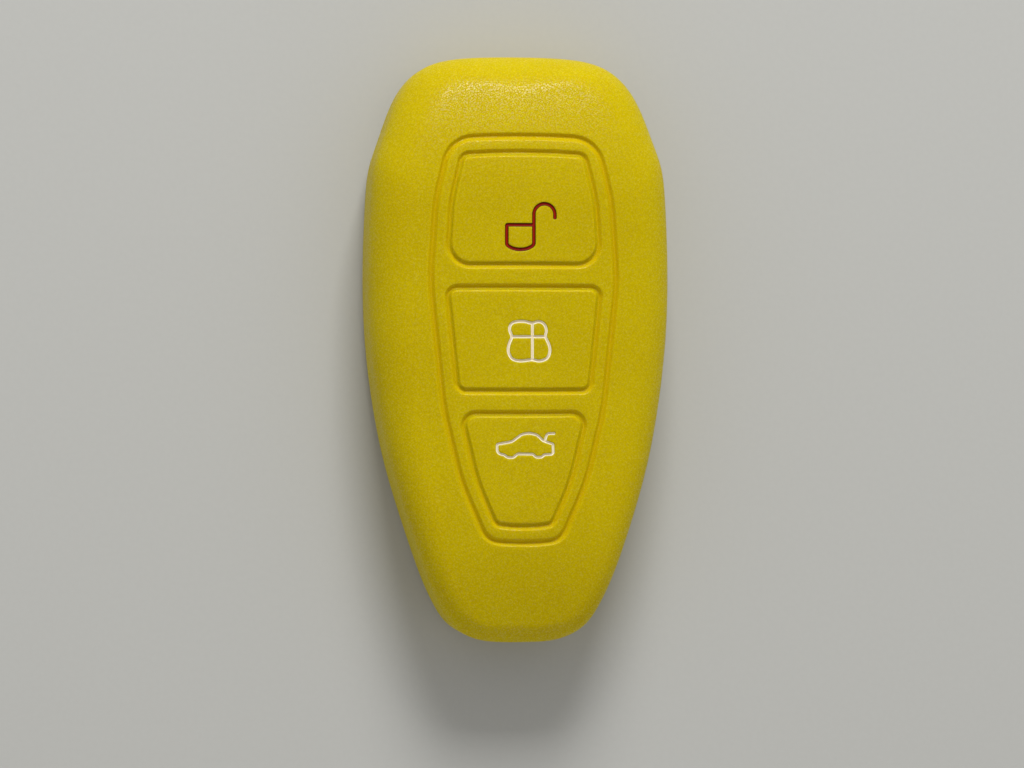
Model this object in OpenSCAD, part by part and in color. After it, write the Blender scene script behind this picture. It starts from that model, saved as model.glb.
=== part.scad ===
// Soft cover for a three-button keyless fob: one thin rubber skin that wraps the front, the sides and
// the rim of the back, three thick button pads that travel, a thin bending web round each pad, and the
// ink that fills the sunk symbol on each pad.
// The cover lies on its back: Z is up through the front, Y runs to the wide end, X is the width.
// The origin is on the back face, at the middle of the length and width.

/* [Body] */
// Overall length, from the narrow end to the wide end
cover_l = 82; // [78:0.5:96]
// Overall width at the widest place
cover_w = 42.2; // [40:0.2:50]
// Overall thickness, from the back face to the top of the front
cover_t = 17.5; // [16:0.1:21]
// Radius that rolls the front over into the side, from the middle to the wide end
front_round = 5.6; // [4.5:0.1:6.5]
// Radius that rolls the front over at the narrow end
narrow_round = 2.8; // [2.6:0.1:4]
// Radius that rolls the side under into the back
back_round = 3.5; // [2.6:0.1:4.5]
// How far the front has fallen at the wide end
wide_end_fall = 5; // [2:0.1:5.5]
// How far the front has fallen at the narrow end
narrow_end_fall = 4; // [1:0.1:4.4]
// How far the front has fallen at the widest place of each side
side_fall = 1.2; // [0.4:0.1:2]
// Distance from the middle to where the front starts to fall towards the wide end
wide_fall_y = 20; // [8:0.5:24]
// Distance from the middle to where the front starts to fall towards the narrow end
narrow_fall_y = 21; // [10:0.5:24]

/* [Skin] */
// Thickness of the side wall
wall_t = 1.6; // [1.2:0.1:2.2]
// Thickness of the front
front_t = 1.8; // [1.6:0.1:2.4]
// Thickness of the back lip
lip_t = 1.5; // [1.2:0.1:2]

/* [Back window and ring slot] */
// Width of the window in the back
window_w = 29; // [22:0.5:31]
// Length of the window in the back
window_l = 60; // [48:0.5:64]
// Width of the slot for the key ring in the narrow end
slot_w = 14.6; // [9:0.2:15.6]
// Height of the slot for the key ring
slot_h = 5.6; // [4.6:0.1:6]
// Height of the middle of the slot above the back face
slot_z = 6.9; // [6.4:0.1:7.2]

/* [Button panel] */
// Width of the outer groove's loop at its widest
panel_w = 26; // [22:0.1:27]
// Length of the outer groove's loop
panel_l = 55.6; // [55:0.1:58]
// Distance of the middle of that loop from the middle of the cover, towards the wide end
panel_y = 1.3; // [-1:0.1:3]
// How far the two ends of that loop bow outwards in their middle
panel_bow = 0.35; // [0.05:0.05:0.5]
// Distance from the loop's wide end to the first pad's groove
panel_end = 2.2; // [1.8:0.1:2.7]
// Distance between the grooves of two pads
pad_gap = 3.1; // [2:0.05:3.3]
// Width of the raised band between the outer groove and the pads' grooves
band_w = 2.2; // [1.9:0.1:2.6]
// Width of every groove in the front
groove_w = 0.6; // [0.45:0.05:0.9]
// Depth of every groove in the front
groove_d = 0.5; // [0.45:0.05:0.9]
// Thickness of the web that joins a pad to the skin
web_t = 0.5; // [0.4:0.05:0.6]
// Thickness of a button pad
pad_t = 2.4; // [2:0.1:3]
// Length of the unlock pad
unlock_l = 15.3; // [13:0.1:16]
// Length of the lock pad
lock_l = 14.3; // [11:0.1:14.8]
// Length of the boot pad
boot_l = 15.4; // [11:0.1:16]
// Corner radius of the pads
pad_corner_r = 1.3; // [0.7:0.1:1.4]
// Corner radius at the narrow end of the unlock pad
unlock_low_r = 3; // [0.7:0.1:3.2]
// Corner radius at the wide end of the boot pad
boot_high_r = 1.7; // [0.7:0.1:2.2]

/* [Symbols] */
// Width of the sunk line of the open padlock
unlock_line_w = 0.46; // [0.3:0.02:0.55]
// Width of the sunk line of the double padlock
lock_line_w = 0.4; // [0.3:0.02:0.5]
// Width of the sunk line of the car with its boot open
boot_line_w = 0.36; // [0.26:0.02:0.42]
// Place of the open padlock's body across its pad
unlock_mark_x = -0.55; // [-1.4:0.05:0.6]
// Place of the open padlock's body along its pad
unlock_mark_y = -3.8; // [-4.8:0.05:0]
// Place of the double padlock across its pad
lock_mark_x = 0.65; // [-2:0.05:2]
// Place of the double padlock along its pad
lock_mark_y = -0.35; // [-2:0.05:1.6]
// Place of the car across its pad
boot_mark_x = 0.1; // [-0.6:0.05:0.4]
// Place of the car along its pad
boot_mark_y = 3.25; // [1:0.05:3.8]
// Depth of the sunk lines
line_d = 0.35; // [0.25:0.05:0.5]
// How far the ink lies below the surface of the pad
ink_sink = 0.12; // [0.05:0.01:0.2]
// Width of the open padlock's body
unlock_body_w = 3.78; // [3:0.02:4.2]
// Height of the straight sides of the open padlock's body
unlock_side_h = 2.65; // [2:0.05:3]
// Depth of the curved bottom of the open padlock's body
unlock_belly_h = 0.75; // [0.4:0.05:1]
// Radius of the open padlock's shackle
shackle_r = 1.47; // [1:0.01:1.6]
// Height of the straight side of the shackle
shackle_rise = 1.45; // [1:0.05:1.8]
// Length of the shackle's free end below its bend
shackle_tail = 0.45; // [0.3:0.05:0.9]
// Width of the double padlock
lock_w = 5.7; // [4.5:0.05:6.2]
// Height of the double padlock
lock_h = 5.5; // [4.5:0.05:6]
// Length of the car
boot_w = 7.9; // [6:0.05:8.3]
// Height of the car
boot_h = 3.36; // [2.6:0.02:3.7]

/* [Hidden] */
silicone = "gold";
red_ink = "darkred";
white_ink = "whitesmoke";
half_w = cover_w / 2;
half_l = cover_l / 2;
over = 1; // overrun of every cut

// Right half of the plan outline, from the wide end to the narrow end, as shares of the half width
// and the half length. The shoulder corner is at the eighth point.
outline_shares = [[0, 1], [0.27, 0.997], [0.49, 0.983], [0.645, 0.948], [0.753, 0.891], [0.834, 0.811],
    [0.907, 0.705], [0.963, 0.612], [0.986, 0.49], [1, 0.3], [0.992, 0.07], [0.945, -0.16],
    [0.86, -0.385], [0.742, -0.59], [0.625, -0.765], [0.53, -0.875], [0.43, -0.947], [0.28, -0.988],
    [0.13, -0.999], [0, -1]];
outline_steps = 3; // points between two outline points
spine_share = 0.75; // how far the middle line of the plan follows the outline
crown_share = 0.9; // how far in the last ring of the front lies

// Right side of the outer groove's loop, from the wide end to the narrow end: shares of its half width
// and half length, and the radius of each bend as a share of the half width
panel_shares = [[0.785, 1, 0.33], [0.944, 0.69, 1.9], [1, 0.29, 2.2], [0.86, -0.34, 2.8],
    [0.672, -0.71, 2.4], [0.4, -1, 0.22]];
panel_side = [for (s = panel_shares)
    [s.x * panel_w / 2, panel_y + s.y * panel_l / 2, s.z * panel_w / 2]];
bow_shares = [0.5, 0.25, 0, -0.25, -0.5]; // points across a bowed end, as shares of its half width
corner_room = 1.5; // length that a pad's corner takes of its side, in corner radii

// The wide and narrow end of each pad
unlock_y = [panel_y + panel_l / 2 - panel_end, panel_y + panel_l / 2 - panel_end - unlock_l];
lock_y = [unlock_y[1] - pad_gap, unlock_y[1] - pad_gap - lock_l];
boot_y = [lock_y[1] - pad_gap, lock_y[1] - pad_gap - boot_l];
unlock_corner_r = [pad_corner_r, unlock_low_r];
lock_corner_r = [pad_corner_r, pad_corner_r];
boot_corner_r = [boot_high_r, pad_corner_r];

// Middle of each symbol
unlock_mark = [unlock_mark_x, (unlock_y[0] + unlock_y[1]) / 2 + unlock_mark_y];
lock_mark = [lock_mark_x, (lock_y[0] + lock_y[1]) / 2 + lock_mark_y];
boot_mark = [boot_mark_x, (boot_y[0] + boot_y[1]) / 2 + boot_mark_y];

// Closed outlines of symbols as shares of the half width and the half height; a third share is the
// radius of a bend
lock_shares = [[-0.84, 0.26], [-0.94, 0.56], [-0.89, 0.84], [-0.71, 0.98], [-0.43, 1.02], [-0.13, 1],
    [0.15, 0.93], [0.42, 1], [0.66, 0.95], [0.81, 0.76], [0.85, 0.5], [0.81, 0.26], [0.94, -0.05],
    [1.03, -0.4], [0.95, -0.76], [0.72, -0.93], [0.44, -0.97], [0.16, -0.91], [-0.23, -0.96],
    [-0.6, -0.95], [-0.85, -0.83], [-0.98, -0.6], [-1.01, -0.34], [-0.93, -0.02]];
lock_waist = [0, 11]; // the two points of that outline at the ends of the cross bar
lock_bar_x_share = 0.17;
lock_bar_y_share = 0.25;
lock_bar_shares = [0.9, -0.89];
car_shares = [[-0.98, 0.1, 0.05], [-0.45, 0.32, 0.3], [-0.12, 0.9, 0.25], [0.15, 1.02, 0.3],
    [0.42, 0.87, 0.25], [0.64, 0.38, 0.25], [0.99, 0.1, 0.05], [1, -0.74, 0.08], [0.7, -0.76, 0.06],
    [0.59, -0.98, 0.12], [0.4, -0.98, 0.12], [0.27, -0.72, 0.08], [-0.26, -0.7, 0.08],
    [-0.41, -1, 0.12], [-0.61, -1, 0.12], [-0.74, -0.77, 0.08], [-0.98, -0.66, 0.17]];
lid_shares = [[0.7, 0.33, 0], [0.78, 0.96, 0.12], [1.03, 0.98, 0]];

// Steps of the round parts of the skin
back_steps = 3;
front_steps = 6;
crown_steps = 4;
corner_steps = 5;
sheet_step = 2.4; // size of one facet of the front under the panel

// Points and curves

function mirror_loop(right) = concat(right,
    [for (i = [len(right) - 2 : -1 : 1]) [-right[i].x, right[i].y]]);

// The control points of a closed cubic curve that runs through the given points
function cage(points, passes = 24) = passes == 0 ? points :
    let (c = cage(points, passes - 1), n = len(points))
    [for (i = [0 : n - 1]) c[i] + points[i] - (c[(i + n - 1) % n] + 4 * c[i] + c[(i + 1) % n]) / 6];

// A point of the cubic curve, t from 0 to 1 between controls b and c
function curve_point(a, b, c, d, t) =
    (pow(1 - t, 3) * a + (3 * pow(t, 3) - 6 * pow(t, 2) + 4) * b
        + (3 * t - 3 * pow(t, 3) + 3 * pow(t, 2) + 1) * c + pow(t, 3) * d) / 6;

// A closed smooth curve through the points
function smooth_loop(points, steps) = let (c = cage(points), n = len(points))
    [for (i = [0 : n - 1], k = [0 : steps - 1])
        curve_point(c[(i + n - 1) % n], c[i], c[(i + 1) % n], c[(i + 2) % n], k / steps)];

function unit(v) = v / norm(v);
function left_of(v) = [-v.y, v.x];

// The round corner at b between a and c, with the radius written third in b
function corner(a, b, c) =
    let (u = unit([a.x - b.x, a.y - b.y]), v = unit([c.x - b.x, c.y - b.y]),
        half = acos(max(-1, min(1, u * v))) / 2, reach = b.z / tan(half),
        middle = [b.x, b.y] + unit(u + v) * b.z / sin(half),
        from = [b.x, b.y] + u * reach - middle, to = [b.x, b.y] + v * reach - middle)
    b.z == 0 || half > 89.9 ? [[b.x, b.y]] :
    [for (k = [0 : corner_steps]) middle + unit(from * (corner_steps - k) + to * k) * b.z];

// A closed outline with rounded corners
function rounded_loop(points) = let (n = len(points))
    [for (i = [0 : n - 1]) each corner(points[(i + n - 1) % n], points[i], points[(i + 1) % n])];

// An open line with rounded bends
function rounded_line(points) = let (n = len(points))
    [[points[0].x, points[0].y],
        for (i = [1 : n - 2]) each corner(points[i - 1], points[i], points[i + 1]),
        [points[n - 1].x, points[n - 1].y]];

// The closed curve moved outwards by d, for a curve that runs clockwise
function grown(points, d) = let (n = len(points))
    [for (i = [0 : n - 1])
        let (before = unit(points[i] - points[(i + n - 1) % n]),
            after = unit(points[(i + 1) % n] - points[i]), side = unit(left_of(before + after)))
        points[i] + side * d / (side * left_of(before))];

// The two sides of an open line of width w, as one closed outline
function ribbon(points, w) = let (n = len(points),
        sides = [for (i = [0 : n - 1])
            let (before = unit(points[max(i, 1)] - points[max(i, 1) - 1]),
                after = unit(points[min(i + 1, n - 1)] - points[min(i, n - 2)]),
                side = unit(left_of(before + after)))
            side * w / 2 / (side * left_of(before))])
    concat([for (i = [0 : n - 1]) points[i] + sides[i]],
        [for (i = [n - 1 : -1 : 0]) points[i] - sides[i]]);

function scaled(shares, w, h, at) = [for (s = shares)
    len(s) == 3 ? [s.x * w / 2 + at.x, s.y * h / 2 + at.y, s.z * w / 2]
        : [s.x * w / 2 + at.x, s.y * h / 2 + at.y]];

// The surface of the front above the back face: level along the panel, falling beyond both its ends
function front_z(p) = cover_t - side_fall * pow(p.x / half_w, 2)
    - wide_end_fall * pow(max(0, p.y - wide_fall_y) / (half_l - wide_fall_y), 2)
    - narrow_end_fall * pow(max(0, -p.y - narrow_fall_y) / (half_l - narrow_fall_y), 2);

// The radius of the front roll: it shrinks from the middle to the narrow end
function round_at(p) = let (t = max(0, min(1, 1 + p.y / half_l)))
    narrow_round + (front_round - narrow_round) * t * t * (3 - 2 * t);

// The skin as rings of points

outline = smooth_loop([for (s = mirror_loop(outline_shares)) [s.x * half_w, s.y * half_l]],
    outline_steps);

function inward(p) = [0, p.y * spine_share] - p;
function inset(p, d) = p + unit(inward(p)) * d;

// One ring under the back roll: turn runs from 0 at the back face to 90 at the side
function back_ring(side_t, face_t, turn) = [for (p = outline)
    let (q = inset(p, back_round - (back_round - side_t) * sin(turn)))
    [q.x, q.y, back_round - (back_round - face_t) * cos(turn)]];

// One ring over the front roll: turn runs from 0 at the side to 90 on the front
function front_ring(side_t, face_t, turn) = [for (p = outline)
    let (r = round_at(p), q = inset(p, r - (r - side_t) * cos(turn)))
    [q.x, q.y, front_z(q) - r + (r - face_t) * sin(turn)]];

// One ring of the crown: share runs from 0 at the front roll to 1 on the middle line
function crown_ring(face_t, share) = [for (p = outline)
    let (edge = inset(p, round_at(p)), q = edge + (p + inward(p) - edge) * share)
    [q.x, q.y, front_z(q) - face_t]];

function skin_rings(side_t, front_face_t, back_face_t) = concat(
    [for (k = [0 : back_steps]) back_ring(side_t, back_face_t, 90 * k / back_steps)],
    [for (k = [0 : front_steps]) front_ring(side_t, front_face_t, 90 * k / front_steps)],
    [for (k = [1 : crown_steps]) crown_ring(front_face_t, crown_share * k / crown_steps)]);

// A closed solid from rings that rise clockwise, shut by a flat face below and by strips above
module ring_solid(rings) {
    n = len(rings[0]);
    top = (len(rings) - 1) * n;
    sides = [for (k = [0 : len(rings) - 2], i = [0 : n - 1])
        let (a = k * n + i, b = k * n + (i + 1) % n) each [[a, b, b + n], [a, b + n, a + n]]];
    strips = [for (i = [0 : n / 2 - 1]) let (a = top + i, b = top + n - i)
        each [if (i > 0) [a, b - 1, b], if (i < n / 2 - 1) [a, a + 1, b - 1]]];
    polyhedron([for (r = rings) each r],
        concat([[for (i = [n - 1 : -1 : 0]) i]], sides, strips), convexity = 6);
}

// The solid between two depths below the front, over the rectangle from low to high
module front_sheet(low, high, top, bottom) {
    nx = ceil((high.x - low.x) / sheet_step);
    ny = ceil((high.y - low.y) / sheet_step);
    row = nx + 1;
    count = row * (ny + 1);
    plan = [for (j = [0 : ny], i = [0 : nx])
        [low.x + (high.x - low.x) * i / nx, low.y + (high.y - low.y) * j / ny]];
    cells = [for (j = [0 : ny - 1], i = [0 : nx - 1]) j * row + i];
    rim = concat([for (i = [0 : nx - 1]) i], [for (j = [0 : ny - 1]) j * row + nx],
        [for (i = [nx : -1 : 1]) ny * row + i], [for (j = [ny : -1 : 1]) j * row]);
    polyhedron(concat([for (p = plan) [p.x, p.y, front_z(p) - bottom]],
            [for (p = plan) [p.x, p.y, front_z(p) - top]]),
        concat([for (a = cells) each [[a, a + 1, a + row + 1], [a, a + row + 1, a + row]]],
            [for (a = cells) let (b = a + count)
                each [[b, b + row + 1, b + 1], [b, b + row, b + row + 1]]],
            [for (i = [0 : len(rim) - 1]) let (a = rim[i], b = rim[(i + 1) % len(rim)])
                each [[a, a + count, b + count], [a, b + count, b]]]),
        convexity = 4);
}

// Outlines on the front

// How far an end at y bows outwards in its middle
function bow(y) = panel_bow * (y - panel_y) * abs(y - panel_y) / pow(panel_l / 2, 2);

// Points across the end whose right corner is p, from right to left, or back with way -1
function bowed_end(p, way) = [for (s = bow_shares)
    [way * s * p.x, p.y + bow(p.y) * (1 - s * s), 0]];

// The closed loop with the given right side
function side_loop(right) = let (last = len(right) - 1)
    rounded_loop(concat(right, bowed_end(right[last], 1),
        [for (i = [last : -1 : 0]) [-right[i].x, right[i].y, right[i].z]], bowed_end(right[0], -1)));

panel_loop = side_loop(panel_side);

// Right side of the pads: the side of the outer groove, bends and all, moved one band inwards
side_line = [for (p = rounded_line(panel_side)) [p.x - band_w, p.y, 0]];
function pad_half(y) = lookup(y, [for (p = side_line) [p.y, p.x]]);

// Middle line of the groove round a pad
function pad_loop(ends, corner_r) = side_loop([[pad_half(ends[0]), ends[0], corner_r[0]],
    for (p = side_line) if (p.y < ends[0] - corner_room * corner_r[0]
        && p.y > ends[1] + corner_room * corner_r[1]) p,
    [pad_half(ends[1]), ends[1], corner_r[1]]]);

// The upright solid inside a loop, through the whole front
module column(loop) {
    translate([0, 0, -over]) linear_extrude(cover_t + 2 * over) polygon(loop);
}

// The part of the front between two depths that lies over one pad and its groove
module pad_sheet(ends, top, bottom) {
    reach = pad_half(ends[0]) + band_w;
    front_sheet([-reach, ends[1] - band_w / 2], [reach, ends[0] + band_w / 2], top, bottom);
}

module pad(ends, corner_r) {
    difference() {
        intersection() {
            column(grown(pad_loop(ends, corner_r), -groove_w / 2));
            pad_sheet(ends, 0, pad_t);
        }
        intersection() {
            children();
            pad_sheet(ends, -over, line_d);
        }
    }
}

module web(ends, corner_r) {
    loop = pad_loop(ends, corner_r);
    intersection() {
        difference() {
            column(grown(loop, groove_w / 2));
            column(grown(loop, -groove_w / 2));
        }
        pad_sheet(ends, groove_d, groove_d + web_t);
    }
}

module ink(ends) {
    intersection() {
        children();
        pad_sheet(ends, ink_sink, line_d);
    }
}

// The sunk lines as upright solids

module closed_line(loop, w) {
    difference() {
        column(grown(loop, w / 2));
        column(grown(loop, -w / 2));
    }
}

module open_line(line, w) {
    column(ribbon(line, w));
}

// An open padlock: a body with a curved bottom, and a shackle that swings out from its right side
module unlock_lines() {
    right = unlock_mark.x + unlock_body_w / 2;
    left = right - unlock_body_w;
    top = unlock_mark.y + unlock_side_h / 2 + unlock_belly_h / 2;
    belly = [for (k = [1 : 7]) let (share = k / 4 - 1)
        [unlock_mark.x - share * unlock_body_w / 2,
            top - unlock_side_h - unlock_belly_h * pow(1 - pow(share, 2), 0.7)]];
    body = concat([[left, top], [right, top], [right, top - unlock_side_h]], belly,
        [[left, top - unlock_side_h]]);
    bend = [for (turn = [180 : -20 : 0])
        [right + shackle_r + shackle_r * cos(turn), top + shackle_rise + shackle_r * sin(turn)]];
    closed_line(body, unlock_line_w);
    open_line(concat([[right, top]], bend,
        [[right + 2 * shackle_r, top + shackle_rise - shackle_tail]]), unlock_line_w);
}

// Two closed padlocks, one in front of the other
module lock_lines() {
    closed_line(smooth_loop(scaled(lock_shares, lock_w, lock_h, lock_mark), 2), lock_line_w);
    bar_x = lock_mark.x + lock_bar_x_share * lock_w / 2;
    bar_y = lock_mark.y + lock_bar_y_share * lock_h / 2;
    waist = [for (i = lock_waist) lock_mark.x + lock_shares[i].x * lock_w / 2];
    open_line([for (s = lock_bar_shares) [bar_x, lock_mark.y + s * lock_h / 2]], lock_line_w);
    open_line([for (x = waist) [x, bar_y]], lock_line_w);
}

// A car seen from its side with its boot lid up
module boot_lines() {
    closed_line(rounded_loop(scaled(car_shares, boot_w, boot_h, boot_mark)), boot_line_w);
    open_line(rounded_line(scaled(lid_shares, boot_w, boot_h, boot_mark)), boot_line_w);
}

// The pieces

module ring_slot() {
    flat = slot_w - slot_h;
    reach = over + wall_t + front_round;
    translate([0, -half_l - over, slot_z]) rotate([-90, 0, 0])
        for (end = [-1, 1]) translate([end * flat / 2, 0, 0])
            cylinder(d = slot_h, h = reach, $fn = 48);
    translate([-flat / 2, -half_l - over, slot_z - slot_h / 2])
        cube([flat, reach, slot_h]);
}

module back_window() {
    loop = [for (p = outline) [p.x * window_w / cover_w, p.y * window_l / cover_l]];
    translate([0, 0, -over]) linear_extrude(lip_t + 2 * over) polygon(loop);
}

module cover_shell() {
    color(silicone) difference() {
        ring_solid(skin_rings(0, 0, 0));
        ring_solid(skin_rings(wall_t, front_t, lip_t));
        back_window();
        ring_slot();
        for (p = [[unlock_y, unlock_corner_r], [lock_y, lock_corner_r], [boot_y, boot_corner_r]])
            translate([0, 0, cover_t / 2])
                column(grown(pad_loop(p[0], p[1]), groove_w / 2));
        intersection() {
            closed_line(panel_loop, groove_w);
            front_sheet([-panel_w / 2 - band_w, panel_y - panel_l / 2 - band_w],
                [panel_w / 2 + band_w, panel_y + panel_l / 2 + band_w], -over, groove_d);
        }
    }
}

module unlock_pad() { color(silicone) pad(unlock_y, unlock_corner_r) unlock_lines(); }
module lock_pad() { color(silicone) pad(lock_y, lock_corner_r) lock_lines(); }
module boot_pad() { color(silicone) pad(boot_y, boot_corner_r) boot_lines(); }
module unlock_web() { color(silicone) web(unlock_y, unlock_corner_r); }
module lock_web() { color(silicone) web(lock_y, lock_corner_r); }
module boot_web() { color(silicone) web(boot_y, boot_corner_r); }
module unlock_ink() { color(red_ink) ink(unlock_y) unlock_lines(); }
module lock_ink() { color(white_ink) ink(lock_y) lock_lines(); }
module boot_ink() { color(white_ink) ink(boot_y) boot_lines(); }

cover_shell();
unlock_pad();
lock_pad();
boot_pad();
unlock_web();
lock_web();
boot_web();
unlock_ink();
lock_ink();
boot_ink();
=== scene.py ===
"""Soft silicone cover for a three-button key fob, lying on its back on a pale table.

The cover is one moulding: a skin round an open pocket, three thick button pads, and a thin web
round each pad that lets it travel. Each pad carries a sunk symbol lined with ink. Sizes are in
millimetres and meshes in metres: Z is up through the front, Y runs to the wide end and X is the
width.
"""

import logging
import math
from dataclasses import dataclass, field
from enum import Enum

import bpy
import numpy as np
from mathutils import Matrix, Vector
from mathutils.geometry import delaunay_2d_cdt

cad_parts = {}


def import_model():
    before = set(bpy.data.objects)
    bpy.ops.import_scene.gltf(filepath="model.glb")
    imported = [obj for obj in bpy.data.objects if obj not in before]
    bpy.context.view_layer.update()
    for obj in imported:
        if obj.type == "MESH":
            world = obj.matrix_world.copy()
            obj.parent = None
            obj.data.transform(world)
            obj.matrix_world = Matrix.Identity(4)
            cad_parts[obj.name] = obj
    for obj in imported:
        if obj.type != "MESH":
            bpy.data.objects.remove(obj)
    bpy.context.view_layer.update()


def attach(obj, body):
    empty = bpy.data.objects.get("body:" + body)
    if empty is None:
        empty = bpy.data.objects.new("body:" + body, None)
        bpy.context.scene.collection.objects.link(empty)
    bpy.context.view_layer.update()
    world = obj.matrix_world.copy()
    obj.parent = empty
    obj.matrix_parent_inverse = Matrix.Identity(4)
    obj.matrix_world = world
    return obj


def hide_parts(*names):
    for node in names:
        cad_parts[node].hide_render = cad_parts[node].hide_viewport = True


LOG = logging.getLogger("key_fob_cover")
MM = 0.001
IMAGE_WIDTH = 1024
IMAGE_HEIGHT = 768
# How deep in a groove or in the ink a point lies; the finishes paint shade by it
DEPTH_ATTRIBUTE = "groove"
# How often a spline's cage is relaxed, and how many pairs of points and spans make one block
CAGE_STEPS = 24
PAIRS_AT_ONCE = 2_000_000
# How far filling points keep off a line, as a share of their spacing, and half the angle from which
# a corner counts as straight
OFF_LINE = 0.6
STRAIGHT = math.radians(89.9)
# The least area of a triangle on a rim, how near two points are one to the triangulation, and the
# digits that welded points share, in millimetres
LEAST_AREA = 1e-6
SAME_POINT = 1e-7
WELD_DIGITS = 5
# How near to the ink's rim the middle of a triangle counts as on it
ON_RIM = 1e-4

Colour = tuple[int, int, int]


# Curves in the plan


def unit(vectors: np.ndarray) -> np.ndarray:
    """Scales each row to length one."""
    return vectors / np.linalg.norm(vectors, axis=-1, keepdims=True)


def left_of(vectors: np.ndarray) -> np.ndarray:
    """Turns each row a quarter turn to the left."""
    return np.stack([-vectors[..., 1], vectors[..., 0]], -1)


def mirrored(right: np.ndarray) -> np.ndarray:
    """Closes a right half that starts and ends on the middle line with its mirror image."""
    return np.concatenate([right, right[-2:0:-1] * (-1.0, 1.0)])


def between(first: np.ndarray, last: np.ndarray, shares: np.ndarray) -> np.ndarray:
    """Blends two loops, one ring for each share."""
    share = shares[:, None, None]
    return first[None] * (1 - share) + last[None] * share


def lifted(plan: np.ndarray, level: float) -> np.ndarray:
    """Gives plan loops one height."""
    return np.concatenate([plan, np.full((*plan.shape[:2], 1), level)], 2)


def closed_spline(points: np.ndarray, steps: int) -> np.ndarray:
    """Runs a closed cubic B-spline through the points.

    The control cage is relaxed until the curve's own points, (before + 4 own + after) / 6, lie on
    the given ones. Each span is then the usual cubic blend of four controls.

    Args:
        points: the points that the curve passes, as rows.
        steps: how many points each span gets.

    Returns:
        The points of the curve, as rows.
    """
    cage = points.copy()
    for _ in range(CAGE_STEPS):
        cage += points - (np.roll(cage, 1, 0) + 4 * cage + np.roll(cage, -1, 0)) / 6
    t = np.arange(steps)[:, None] / steps
    rise, fall = 3 * t + 3 * t**2 - 3 * t**3 + 1, 3 * t**3 - 6 * t**2 + 4
    blend = np.hstack([(1 - t) ** 3, fall, rise, t**3]) / 6
    spans = np.stack([np.roll(cage, 1 - k, 0) for k in range(4)], 1)
    return np.einsum("sk,nkd->nsd", blend, spans).reshape(-1, 2)


def rounded(corners: np.ndarray, closed: bool = True, steps: int = 16) -> np.ndarray:
    """Rounds the corners of a plan polygon or line.

    Each corner becomes an arc that touches both sides: its middle lies on the bisector, the radius
    over the sine of half the angle away from the corner.

    Args:
        corners: rows of x, y and the corner's radius.
        closed: whether the last corner joins the first.
        steps: how many points each arc gets.

    Returns:
        The points of the line, as rows of x and y.
    """
    at, radius = corners[:, :2], corners[:, 2]
    before, after = unit(np.roll(at, 1, 0) - at), unit(np.roll(at, -1, 0) - at)
    half = np.arccos(np.clip((before * after).sum(1), -1, 1)) / 2
    radius = np.where(half > STRAIGHT, 0, radius)
    middle = at + unit(before + after + 1e-9) * (radius / np.sin(half))[:, None]
    start = at + before * (radius / np.tan(half))[:, None]
    end = at + after * (radius / np.tan(half))[:, None]
    share = np.linspace(0, 1, steps)[None, :, None]
    rays = (start - middle)[:, None] * (1 - share) + (end - middle)[:, None] * share
    length = np.maximum(np.linalg.norm(rays, axis=2, keepdims=True), 1e-12)
    arcs = middle[:, None] + rays / length * radius[:, None, None]
    keep = np.ones(arcs.shape[:2], bool)
    keep[radius == 0, 1:] = False
    if not closed:
        arcs[[0, -1], 0] = at[[0, -1]]
        keep[[0, -1], 1:] = False
    return arcs[keep]


def lengths_along(line: np.ndarray) -> np.ndarray:
    """Gives each point's distance from the first one along the line."""
    return np.concatenate([[0], np.cumsum(np.linalg.norm(np.diff(line, axis=0), axis=1))])


def points_at(line: np.ndarray, at: np.ndarray) -> np.ndarray:
    """Finds the points that lie at the given distances along a line."""
    along = lengths_along(line)
    return np.stack([np.interp(at, along, line[:, k]) for k in range(2)], 1)


def resampled(loop: np.ndarray, count: int) -> np.ndarray:
    """Spreads points evenly along a closed loop, starting where the loop starts."""
    ring = np.vstack([loop, loop[:1]])
    return points_at(ring, np.arange(count) * lengths_along(ring)[-1] / count)


def resampled_line(line: np.ndarray, spacing: float) -> np.ndarray:
    """Spreads points evenly along an open line and keeps both its ends."""
    length = lengths_along(line)[-1]
    return points_at(line, np.linspace(0, length, max(2, math.ceil(length / spacing) + 1)))


def grown(loop: np.ndarray, distance: float) -> np.ndarray:
    """Moves a clockwise loop outwards: each point goes along the bisector of its two sides.

    Args:
        loop: the points of the loop.
        distance: how far its sides move.

    Returns:
        The points of the grown loop.
    """
    before = unit(loop - np.roll(loop, 1, 0))
    after = unit(np.roll(loop, -1, 0) - loop)
    side = unit(left_of(before + after))
    return loop + side * distance / (side * left_of(before)).sum(1)[:, None]


def capsule(line: np.ndarray, reach: float, steps: int = 7) -> np.ndarray:
    """Outlines everything within a distance of an open line, with half circles as its ends.

    Args:
        line: the points of the line.
        reach: the distance.
        steps: how many points each end gets.

    Returns:
        The points of one closed loop.
    """
    along = unit(np.gradient(line, axis=0))
    side = left_of(along) * reach
    turn = np.linspace(math.pi / 2, -math.pi / 2, steps + 2)[1:-1, None]
    far = line[-1] + np.cos(turn) * along[-1] * reach + np.sin(turn) * side[-1]
    near = line[0] - np.cos(turn) * along[0] * reach - np.sin(turn) * side[0]
    return np.vstack([line + side, far, (line - side)[::-1], near])


def blocks(points: int, spans: int) -> list[np.ndarray]:
    """Splits the points' numbers into blocks that can each meet every span within memory."""
    return np.array_split(np.arange(points), max(1, points * spans // PAIRS_AT_ONCE))


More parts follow.
